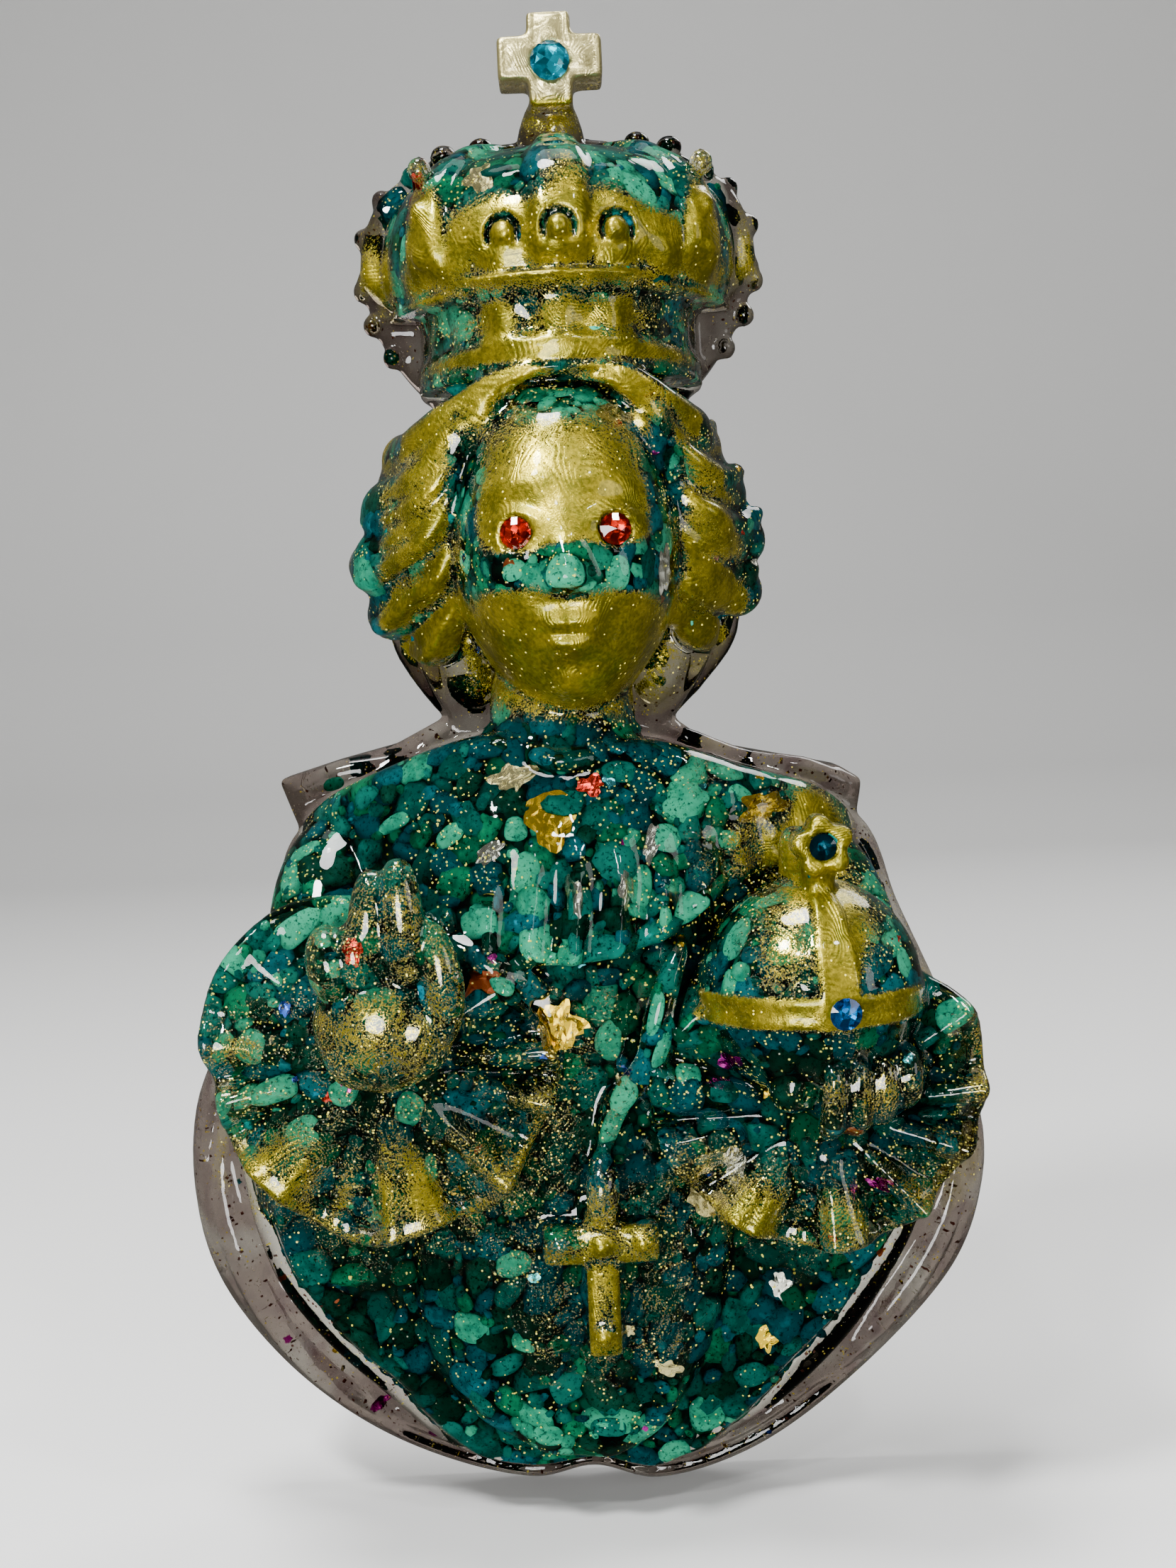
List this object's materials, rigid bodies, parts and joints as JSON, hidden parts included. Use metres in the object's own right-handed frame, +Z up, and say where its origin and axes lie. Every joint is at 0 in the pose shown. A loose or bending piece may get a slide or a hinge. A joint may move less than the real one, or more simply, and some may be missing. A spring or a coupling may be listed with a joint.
{
  "type": "devotional wall plaque",
  "caption": "Half-figure relief of a crowned child with a raised blessing hand, an orb and ruffled sleeves, cast in clear resin over stone chips and gold glitter, with glued crystals.",
  "frame": {"origin": "centre of the flat back, half way up the plaque, where it lies on the wall", "axes": "+Z up towards the crown, +Y out of the flat back into the wall, so the relief faces -Y, +X to the viewer's right"},
  "size_m": [0.1535, 0.0647, 0.2783],
  "materials": {
    "resin": "gloss",
    "blue_crystal": "gloss",
    "deep_blue_crystal": "gloss",
    "dark_teal_crystal": "gloss",
    "red_crystal": "gloss"
  },
  "bodies": {
    "root": {"resin_cast": "resin", "crown_crystal": "blue_crystal", "orb_band_crystal": "deep_blue_crystal", "orb_cross_crystal": "dark_teal_crystal", "eye_crystal_left": "red_crystal", "eye_crystal_right": "red_crystal"}
  },
  "joints": []
}
